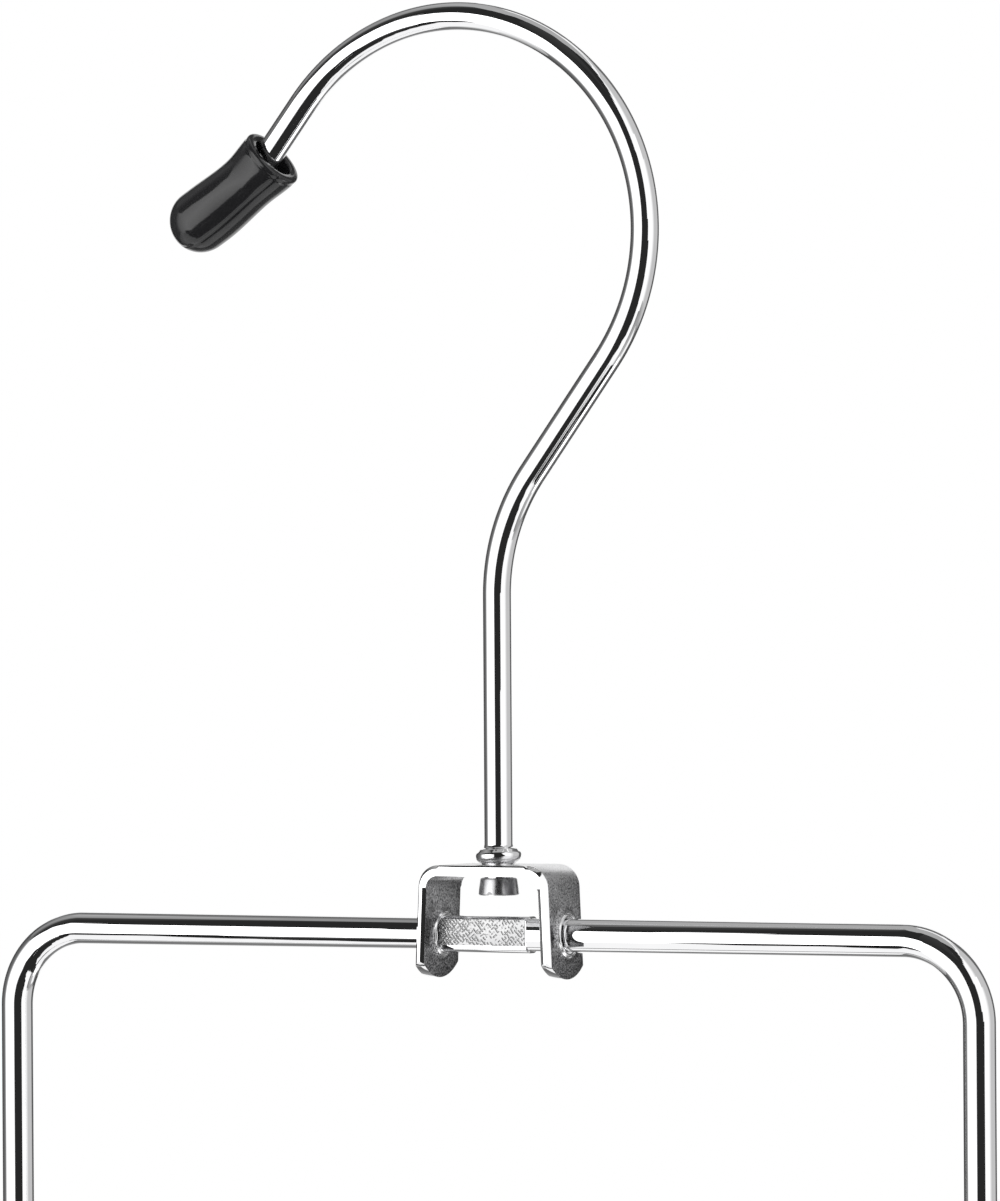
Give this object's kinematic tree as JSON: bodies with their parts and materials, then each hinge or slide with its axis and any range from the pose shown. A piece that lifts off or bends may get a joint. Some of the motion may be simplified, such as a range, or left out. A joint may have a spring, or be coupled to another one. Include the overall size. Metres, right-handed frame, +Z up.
{
  "type": "tie hanger",
  "caption": "Wire tie hanger: a swivel hook with a tip cap, a stamped clevis bracket, and a swinging rectangular frame of sleeved cross bars.",
  "frame": {"origin": "on the swivel axis, on the inside of the hook's crown, where a closet rail carries the hanger", "axes": "+Z up along the swivel axis, +X along the frame's top bar with the hook's tip towards -X, and -Y the front"},
  "size_m": [0.137, 0.0094, 0.379],
  "materials": {
    "chrome_wire": "polished chrome plate on steel wire",
    "plated_steel": "plated stamped sheet with a satin grain",
    "black_vinyl": "glossy black vinyl"
  },
  "bodies": {
    "hook": {"hook_wire": "chrome_wire", "hook_tip_cap": "black_vinyl"},
    "bracket": {"swivel_bracket": "plated_steel"},
    "tie_frame": {"frame_wire": "chrome_wire", "tie_bar_1": "chrome_wire", "tie_bar_2": "chrome_wire", "tie_bar_3": "chrome_wire", "tie_bar_4": "chrome_wire", "grip_sleeve_1": "black_vinyl", "grip_sleeve_2": "black_vinyl", "grip_sleeve_3": "black_vinyl", "grip_sleeve_4": "black_vinyl", "grip_sleeve_5": "black_vinyl"}
  },
  "joints": [
    {"name": "bracket_swivel", "type": "hinge", "parent": "hook", "child": "bracket", "pos_m": [0, 0, -0.10121], "axis": [0, 0, 1], "continuous": true},
    {"name": "frame_swing", "type": "hinge", "parent": "bracket", "child": "tie_frame", "pos_m": [0, 0, -0.10971], "axis": [1, 0, 0], "range_deg": [-150, 150]}
  ]
}
